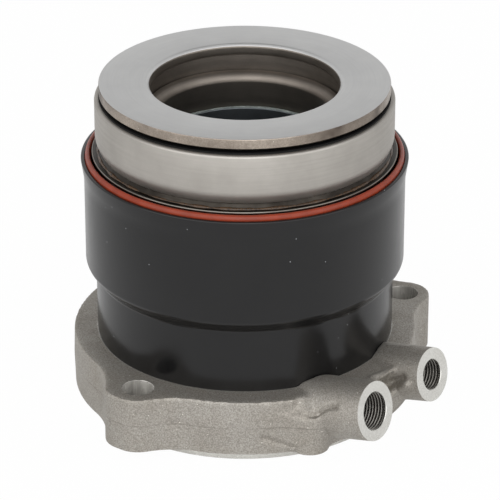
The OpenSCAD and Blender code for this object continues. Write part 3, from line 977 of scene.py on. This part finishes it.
            # Deep faces of a port take the tapped finish, darkened by painted shade inside the bore; the
            # face and mouth stay machined
            for face in {face for vert in verts for face in vert.link_faces}:
                deep = all((back @ vert.co).z < -self.mouth * MM / 2 for vert in face.verts)
                face.material_index = 2 if deep else 1
        for angle in self.bolt_angles:
            r, edge, low = self.bolt_r, self.bolt_edge, -1.0
            top, high = self.flange_top, self.flange_top + self.bolt_plug
            profile = [
                (0, low), (r, low), (r, top - edge), (r + edge, top), (r + edge + self.bolt_plug, high),
                (0, high),
            ]
            verts = turn(bm, profile, 64, self.bolt_place(angle))
            # Bolt holes take the drilled finish, with upright streaks of painted reflection
            for face in {face for vert in verts for face in vert.link_faces}:
                face.material_index = 3
        return bm

    def turning_cuts(self) -> Solid:
        """Makes the cuts of the lathe outside: the flange's seat and spigot, and the collar and barrel.

        Returns:
            The cuts as closed solids.
        """
        bm = bmesh.new()
        r, low = self.spigot_r, -2 * self.stock
        seat = [(r - self.spigot_edge, 0), (r, self.spigot_edge), (r, self.spigot_h)]
        seat += [(self.clear, self.spigot_h), (self.clear, low), (0, low), (0, 0)]
        turn(bm, seat, 192)
        groove = self.collar_r + self.collar_groove
        neck = [(self.collar_r, self.flange_top), (groove, self.flange_top), (groove, self.clear)]
        neck += [(0, self.clear), (0, self.barrel_top), (self.barrel_r, self.barrel_top)]
        neck += [(self.barrel_r, self.collar_top), (self.collar_r, self.collar_top)]
        turn(bm, neck, 192)
        return bm

    def bores(self) -> Solid:
        """Makes the stepped bore in the middle.

        Returns:
            The cut as a closed solid.
        """
        bm = bmesh.new()
        low, high = -self.stock, self.barrel_top + self.bite
        profile = [(0, low), (self.foot_r, low), (self.foot_r, self.foot_h), (self.seat_r, self.foot_h)]
        profile += [(self.seat_r, self.floor_z), (self.bore_r, self.floor_z)]
        profile += [(self.bore_r, high), (0, high)]
        turn(bm, profile, 144)
        return bm

    def machined(self, mesh: Mesh, cut: Solid) -> Mesh:
        """Cuts a casting, and gives the cut faces the finish of the tool.

        Args:
            mesh: The casting.
            cut: Closed solids to take away.

        Returns:
            The casting with the cuts made.
        """
        bmesh.ops.recalc_face_normals(cut, faces=cut.faces)
        for face in cut.faces:
            face.material_index = max(face.material_index, 1)
        finishes = (CAST_ALUMINIUM, MACHINED_ALUMINIUM, TAPPED_ALUMINIUM, DRILLED_ALUMINIUM)
        tool = self.shop.piece("cutter", cut, *finishes)
        obj = self.shop.piece("casting", mesh, *finishes)
        modify(obj, "BOOLEAN", operation="DIFFERENCE", solver="EXACT", object=tool)
        result = settled(obj)
        bpy.data.objects.remove(tool)
        return result

    def thread(self, port: Port) -> None:
        """Builds the crests of a port's thread.

        Args:
            port: The port.
        """
        low = -self.port_depth + port.pitch
        turns = (self.port_depth - self.lip - 1.1 * port.pitch) / port.pitch
        root, crest = port.bore_r + 0.05, port.crest_r + 0.03
        half, flat = 0.46 * port.pitch, 0.07 * port.pitch
        section = [(root, low - half), (crest, low - flat), (crest, low + flat), (root, low + half)]
        bm = coil(section, [(turns, port.pitch)], 40, self.port_place(port))
        obj = self.shop.piece(f"{port.name}_thread", bm, TAPPED_ALUMINIUM)
        self.shop.mount(obj, Body.HOUSING, "cast_aluminium")

    def guide_tube(self) -> None:
        """Builds the guide tube with its foot, and the smear of grease on its upper edge."""
        foot, _, top = Extent.of("guide_tube")
        r, bore, rise = self.tube_r, self.tube_r - self.tube_wall, self.tube_foot
        profile = [(bore, 0.0), (foot, 0.0), (foot, rise), (r, rise), (r, top), (bore, top)]
        corners = {(r, top): 0.4, (bore, top): 0.3, (foot, 0.0): 0.3, (bore, 0.0): 0.3}
        tube = self.shop.piece("guide_tube_drawn", ring_solid(profile, corners, 144), TUBE_STEEL)
        self.shop.mount(tube, Body.HOUSING, "tube_steel", "guide_tube")
        smear = smeared_ring((r - self.tube_wall / 2, top), half=(0.62, 0.34), swing=0.55, seed=3.0)
        grease = self.shop.piece("guide_tube_grease", smear, PALE_GREASE)
        self.shop.mount(grease, Body.HOUSING, "tube_steel")


@dataclass
class DustShroud:
    """Black enamelled cup around the cylinder, with the red wiper ring in its mouth."""

    shop: Workshop
    wall: float = 1.2
    rim_flare: float = 0.9
    flare_h: float = 5.9
    neck_in: float = 3.9
    neck_h: float = 18.8
    shoulder_h: float = 3.7
    wiper_gap: float = 0.04
    wiper_w: float = 1.66
    wiper_depth: float = 1.8

    def build(self) -> None:
        """Builds the cup and the wiper ring."""
        rim, low, top = Extent.of("dust_shroud")
        cup, neck, wall = rim - self.rim_flare, rim - self.neck_in, self.wall
        crease = low + self.neck_h
        shoulder = crease + self.shoulder_h
        rise = wall * math.tan(math.atan2(cup - neck, self.shoulder_h) / 2)
        flare = top - self.flare_h
        profile = [(neck, low), (neck, crease), (cup, shoulder), (cup, flare), (rim, top)]
        profile += [(rim - wall, top), (cup - wall, flare), (cup - wall, shoulder + rise)]
        profile += [(neck - wall, crease + rise), (neck - wall, low)]
        corners = {(neck, crease): 0.6, (cup, shoulder): 0.8, (cup, flare): 1.5}
        corners |= {(rim, top): 0.42, (rim - wall, top): 0.3}
        piece = self.shop.piece("dust_shroud_enamelled", ring_solid(profile, corners), BLACK_ENAMEL)
        self.shop.mount(piece, Body.HOUSING, "black_paint", "dust_shroud")
        self.wiper(rim - wall - self.wiper_gap, top)

    def wiper(self, outside: float, rim_z: float) -> None:
        """Builds the wiper ring.

        Args:
            outside: Outer radius at the rim.
            rim_z: Height of the shroud's rim.
        """
        crown = Extent.of("wiper_ring").high - rim_z
        half = self.wiper_w / 2
        taper = self.wiper_depth * self.rim_flare / self.flare_h
        inside = outside - self.wiper_w
        profile = [(inside, rim_z - self.wiper_depth), (outside - taper, rim_z - self.wiper_depth)]
        profile += arc((inside + half, rim_z), (half, crown), 0, 180, 14)
        ring = self.shop.piece("wiper_ring_moulded", ring_solid(profile, {}), RED_RUBBER)
        self.shop.mount(ring, Body.HOUSING, "red_rubber", "wiper_ring")


@dataclass
class ReleaseBearing:
    """Rings, thrust plate, carrier and seals of the bearing, with the grease around it."""

    shop: Workshop
    pitch_r: float = 36.0
    groove_r: float = 3.6
    groove_step: float = 1.8
    ring_cone: Point = (1.3, 3.0)
    inner_bore: float = 28.8
    inner_edge: float = 0.5
    plate_bore: float = 27.0
    plate_bore_edge: float = 0.85
    plate_edge: float = 0.7
    nose_r: float = 28.5
    nose_fit: float = 0.02
    carrier_t: float = 1.0
    crown_in: float = 1.8
    slope_w: float = 1.0
    brim_drop: float = 1.5
    brim_share: float = 0.8
    lit_edge_w: float = 0.5

    def build(self) -> None:
        """Builds the bearing's visible pieces and dresses the hidden ones."""
        self.outer_ring()
        self.inner_ring()
        self.thrust_plate()
        self.carrier()
        self.shop.dress(BLACK_RUBBER, "upper_bearing_seal", "lower_bearing_seal")
        self.shop.dress(CAGE_POLYAMIDE, "bearing_cage")
        self.shop.dress(BALL_STEEL, "bearing_balls")

    def groove(self, facing: float) -> list[Point]:
        """Gives the section of a ball groove.

        Args:
            facing: Angle in degrees at which the groove's floor lies from the balls.

        Returns:
            Points from the groove's first edge to its last.
        """
        _, low, top = Extent.of("bearing_outer_ring")
        reach = math.degrees(math.acos(self.groove_step / self.groove_r))
        middle = (self.pitch_r, (low + top) / 2)
        return arc(middle, (self.groove_r, self.groove_r), facing + reach, facing - reach, 12)

    def outer_ring(self) -> None:
        """Builds the wide satin ring with its lower cone and the ball groove inside."""
        r, low, top = Extent.of("bearing_outer_ring")
        inside = self.pitch_r + self.groove_step
        foot, shoulder = r - self.ring_cone[0], low + self.ring_cone[1]
        profile = [(inside, low), (foot, low), (r, shoulder), (r, top), (inside, top), *self.groove(0)]
        corners = {(r, top): 0.8, (r, shoulder): 0.9, (foot, low): 0.4}
        corners |= {(inside, low): 0.2, (inside, top): 0.2}
        ring = self.shop.piece("bearing_outer_ring_ground", ring_solid(profile, corners), GROUND_RING)
        self.shop.mount(ring, Body.PISTON, "bearing_steel", "bearing_outer_ring")

    def inner_ring(self) -> None:
        """Builds the inner ring that shows through the bore."""
        r, low, top = Extent.of("bearing_inner_ring")
        bore, edge = self.inner_bore, self.inner_edge
        profile = [(bore, low), (r, low), *self.groove(180), (r, top), (bore, top)]
        bm = ring_solid(profile, {(bore, low): edge, (r, low): edge, (bore, top): 0.25}, 144)
        # The ring takes the bore steel, darkened by painted shade inside the bore
        ring = self.shop.piece("bearing_inner_ring_turned", bm, BORE_STEEL_SHADED)
        self.shop.mount(ring, Body.INNER_RING, "bearing_steel", "bearing_inner_ring")

    def thrust_plate(self) -> None:
        """Builds the ground flat ring on top."""
        r, low, top = Extent.of("thrust_plate")
        bore, lead, edge = self.plate_bore, self.plate_bore_edge, self.plate_edge
        profile = [(bore, low), (r - edge, low), (r, low + edge), (r, top)]
        profile += [(bore + lead, top), (bore, top - lead)]
        corners = {(r, top): 0.3, (bore + lead, top): 0.35, (bore, top - lead): 0.35, (bore, low): 0.7}
        bm = ring_solid(profile, corners)
        # Upright faces at the rim take the hard turned finish; those at the bore take the bore steel,
        # darkened by painted shade
        for face in bm.faces:
            if face.normal.z < 0.6:
                face.material_index = 1 if distance_out(face) > (bore + r) / 2 else 2
        plate = self.shop.piece("thrust_plate_ground", bm, GROUND_PLATE, PLATE_EDGE, BORE_STEEL_SHADED)
        self.shop.mount(plate, Body.INNER_RING, "ground_steel", "thrust_plate")

    def carrier(self) -> None:
        """Builds the pressed carrier with its thin brim, and the grease in the groove above it."""
        r, low, top = Extent.of("bearing_carrier")
        crown = Extent.of("bearing_outer_ring").radius - self.crown_in
        foot, half = crown + self.slope_w, self.carrier_t / 2
        bore, under = self.nose_r + self.nose_fit, top - self.carrier_t
        brim, brim_top = low + self.carrier_t * self.brim_share, top - self.brim_drop
        profile = [(bore, under), (crown - half, under), (foot - half, low), (r, low), (r, brim)]
        profile += [(foot, brim_top), (crown, top), (bore, top)]
        bm = ring_solid(profile, {(r, low): 0.25, (r, brim): 0.25})
        # The outer edge of the brim keeps the lit colour; the rest of the carrier is painted shade under
        # the bearing ring
        for face in bm.faces:
            face.material_index = int(distance_out(face) > r - self.lit_edge_w)
        plate = self.shop.piece("bearing_carrier_pressed", bm, SHADED_PRESSED_STEEL, PRESSED_STEEL)
        self.shop.mount(plate, Body.PISTON, "carrier_steel", "bearing_carrier")
        bead = smeared_ring((foot - 0.1, brim_top), half=(0.9, 0.75), swing=0.95, seed=8.0)
        grease = self.shop.piece("carrier_grease", bead, BROWN_GREASE)
        self.shop.mount(grease, Body.PISTON, "carrier_steel")


@dataclass
class HydraulicPiston:
    """Piston with its seal, guide ring and retaining rings."""

    shop: Workshop
    bore: float = 25.05
    tongue: Point = (28.0, 30.0)
    tongue_h: float = 3.2
    hook_h: float = 0.8
    hook_side: float = 0.6
    backing: Point = (30.5, 1.2)
    land: Point = (32.95, 16.7)
    guide: Point = (31.5, 6.0)
    stem: Point = (30.5, 19.8)
    seat: Point = (36.9, 2.5)
    nose_r: float = 28.5
    nose_edge: float = 0.3
    nose_round: float = 2.8
    clip: Point = (27.7, 1.14)
    carrier_t: float = 1.0

    def build(self) -> None:
        """Builds the piston and dresses the pieces around it."""
        self.piston()
        self.shop.dress(BLACK_RUBBER, "piston_seal", "guide_tube_o_ring")
        self.shop.dress(WHITE_POLYMER, "seal_backing_ring")
        self.shop.dress(GUIDE_POLYMER, "piston_guide_ring")
        self.shop.dress(DARK_STEEL, "carrier_retaining_ring", "stop_ring", "spring_seat")

    def piston(self) -> None:
        """Builds the annular piston: hook, land with its groove, stem, seat and rounded nose."""
        _, hook, top = Extent.of("piston")
        backing_r, backing_h = self.backing
        land_r, land_h = self.land
        guide_r, guide_h = self.guide
        inner, outer = self.tongue
        land_z = hook + self.tongue_h
        backing_z = land_z + backing_h
        land_top = land_z + land_h
        guide_z = land_z + backing_h + (land_h - backing_h - guide_h) / 2
        guide_top = guide_z + guide_h
        seat_low = land_top + self.stem[1]
        seat_top = seat_low + self.seat[1]
        clip_z = seat_top + self.carrier_t
        clip_top = clip_z + self.clip[1]
        side, nose, edge, bend = self.hook_side, self.nose_r, self.nose_edge, self.nose_round
        neck = hook + self.hook_h + side
        profile = [
            (self.bore, land_z), (inner, land_z), (inner, neck), (inner - side, neck - side),
            (inner - side, hook), (outer + side, hook), (outer + side, neck - side), (outer, neck),
            (outer, land_z), (backing_r, land_z), (backing_r, backing_z), (land_r, backing_z),
            (land_r, guide_z), (guide_r, guide_z), (guide_r, guide_top), (land_r, guide_top),
            (land_r, land_top), (self.stem[0], land_top), (self.stem[0], seat_low),
            (self.seat[0], seat_low), (self.seat[0], seat_top), (nose, seat_top), (nose, clip_z),
            (self.clip[0], clip_z), (self.clip[0], clip_top), (nose, clip_top), (nose, top - edge),
            (nose - edge, top), *arc((self.bore + bend, top - bend), (bend, bend), 90, 180, 12),
        ]
        bm = ring_solid(profile, {})
        # Faces of the bore take the honed finish, darkened by painted shade inside the bore
        for face in bm.faces:
            face.material_index = int(distance_out(face) < self.bore + 0.02)
        piston = self.shop.piece("piston_turned", bm, PISTON_ALUMINIUM, HONED_ALUMINIUM_SHADED)
        self.shop.mount(piston, Body.PISTON, "piston_aluminium", "piston")


@dataclass
class PreloadSpring:
    """Coil spring that keeps the bearing against the clutch."""

    shop: Workshop
    wire_r: float = 1.3
    coil_r: float = 39.0
    turns: int = 6
    stroke: float = 14.0
    gap: float = 0.02

    def build(self) -> None:
        """Winds the wire, with one closed turn at each end."""
        size = Extent.of("preload_spring")
        closed = 2 * self.wire_r + self.gap
        length = size.high - size.low - 2 * self.wire_r
        pitch = (length - 2 * closed) / (self.turns - 2)
        section = arc((self.coil_r, size.low + self.wire_r), (self.wire_r, self.wire_r), 0, 330, 11)
        bm = coil(section, [(1, closed), (self.turns - 2, pitch), (1, closed)], 48)
        spring = self.shop.piece("preload_spring_wound", bm, DARK_STEEL)
        self.shop.mount(spring, Body.HOUSING, "spring_steel", "preload_spring")
        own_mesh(spring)


@dataclass
class Studio:
    """White floor, soft lamps and the camera of the photograph's view."""

    distance: float = 944.1
    elevation: float = 25.897
    lens: float = 234.5
    aim: Point3 = (1.5, 0.0, 44.0)
    floor_seen: float = 0.98
    floor_mirrored: float = 0.3

    def build(self) -> None:
        """Builds the view, the floor and the light."""
        scene = bpy.context.scene
        scene.view_settings.view_transform = "Standard"
        self.camera(scene)
        self.world(scene)
        self.floor()
        self.lamp("key", place=(-0.75, -1.2, 0.5), size=2.5, power=22.0)
        self.lamp("fill", place=(0.8, -1.2, 0.5), size=2.5, power=19.0)

    def camera(self, scene: bpy.types.Scene) -> None:
        """Places the camera.

        Args:
            scene: The scene that is seen.
        """
        data = bpy.data.cameras.new("view")
        data.lens = self.lens
        data.sensor_width = 36.0
        data.clip_end = 20.0
        obj = bpy.data.objects.new("view", data)
        rise = math.radians(self.elevation)
        back = Vector((0, -math.cos(rise), math.sin(rise)))
        obj.location = (Vector(self.aim) + back * self.distance) * MM
        obj.rotation_euler = (math.pi / 2 - rise, 0, 0)
        scene.collection.objects.link(obj)
        scene.camera = obj

    def world(self, scene: bpy.types.Scene) -> None:
        """Makes a white room with a dim ceiling, which also shows in reflections.

        Args:
            scene: The scene that takes the room.
        """
        world = bpy.data.worlds.new("white_room")
        world.use_nodes = True
        tree = world.node_tree
        tree.nodes.clear()
        place = add_node(tree, "TexCoord")["Object"]
        height = add_node(tree, "SeparateXYZ", {0: place})[2]
        dimming = {"Value": height, "From Min": 0.45, "From Max": 0.95, "To Min": 0.8, "To Max": 0.25}
        level = add_node(tree, "MapRange", dimming)[0]
        sky = add_node(tree, "Background", {"Color": (1.0, 1.0, 1.0, 1.0), "Strength": level})
        add_node(tree, "OutputWorld", {"Surface": sky[0]})
        scene.world = world

    def floor(self) -> None:
        """Lays a white floor that keeps the object's shadow."""
        bm = bmesh.new()
        bmesh.ops.create_grid(bm, x_segments=1, y_segments=1, size=6.0)
        mesh = bpy.data.meshes.new("floor")
        bm.to_mesh(mesh)
        bm.free()
        obj = bpy.data.objects.new("floor", mesh)
        bpy.context.scene.collection.objects.link(obj)
        material = bpy.data.materials.new("white_paper_floor")
        material.use_nodes = True
        tree = material.node_tree
        tree.nodes.clear()
        paper = add_node(tree, "BsdfDiffuse", {"Color": (0.86, 0.86, 0.86, 1.0)})[0]
        white = {"Color": (1.0, 1.0, 1.0, 1.0), "Strength": 1.0}
        glow = add_node(tree, "Emission", white)[0]
        rays = add_node(tree, "LightPath")
        direct = {0: rays["Is Camera Ray"], 1: rays["Is Transmission Ray"]}
        seen = add_node(tree, "Math", direct, operation="MAXIMUM")[0]
        full, part = (
            add_node(tree, "Math", {0: ray, 1: share}, operation="MULTIPLY")[0]
            for ray, share in ((seen, self.floor_seen), (rays["Is Glossy Ray"], self.floor_mirrored))
        )
        share = add_node(tree, "Math", {0: full, 1: part}, operation="MAXIMUM")[0]
        mixed = add_node(tree, "MixShader", {0: share, 1: paper, 2: glow})
        add_node(tree, "OutputMaterial", {"Surface": mixed[0]})
        mesh.materials.append(material)

    def lamp(self, name: str, place: Point3, size: float, power: float) -> None:
        """Hangs a soft square lamp that shines at the object.

        Args:
            name: Name of the lamp.
            place: Its place in metres.
            size: Its side in metres.
            power: Its power in watts.
        """
        data = bpy.data.lights.new(name, "AREA")
        data.shape = "SQUARE"
        data.size = size
        data.energy = power
        obj = bpy.data.objects.new(name, data)
        obj.location = place
        aim = Vector(self.aim) * MM - Vector(place)
        obj.rotation_euler = aim.to_track_quat("-Z", "Y").to_euler()
        bpy.context.scene.collection.objects.link(obj)


def main() -> None:
    """Builds the object and the studio around it."""
    logging.basicConfig(level=logging.INFO, format="%(message)s")
    shop = Workshop()
    Studio().build()
    for assembly in (Housing, DustShroud, ReleaseBearing, HydraulicPiston, PreloadSpring):
        LOG.info("building %s", assembly.__name__)
        assembly(shop).build()


if __name__ == "__main__":
    main()
